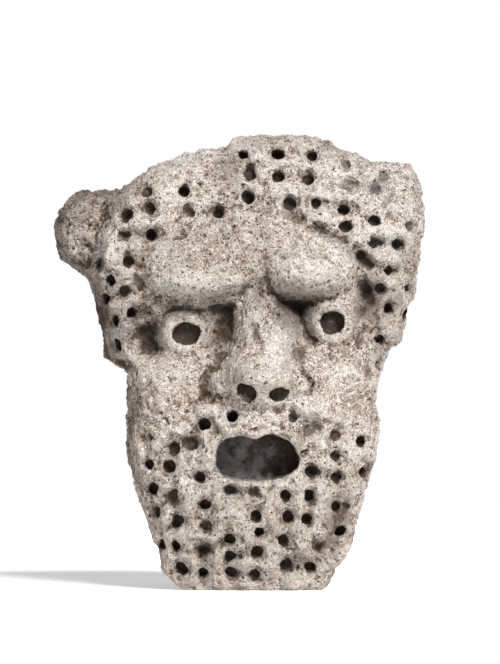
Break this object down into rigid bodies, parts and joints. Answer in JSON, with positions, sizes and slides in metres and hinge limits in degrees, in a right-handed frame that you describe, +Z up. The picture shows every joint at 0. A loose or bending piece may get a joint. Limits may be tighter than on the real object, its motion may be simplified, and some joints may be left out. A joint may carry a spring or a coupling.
{
  "type": "stone demon head",
  "caption": "Weathered carved stone mask head with heavy brows, ringed eyes, broad nose, open mouth, and drilled hair and beard; flat back and underside.",
  "frame": {"origin": "middle of the head's bounding box, on the plane of its flat underside", "axes": "+Z up, the face looks towards -Y, the flat back faces +Y, +X is the viewer's right"},
  "size_m": [0.3728, 0.2397, 0.454],
  "materials": {
    "stone": "weathered, pitted limestone, matt"
  },
  "bodies": {
    "root": {"stone_head": "stone"}
  },
  "joints": []
}
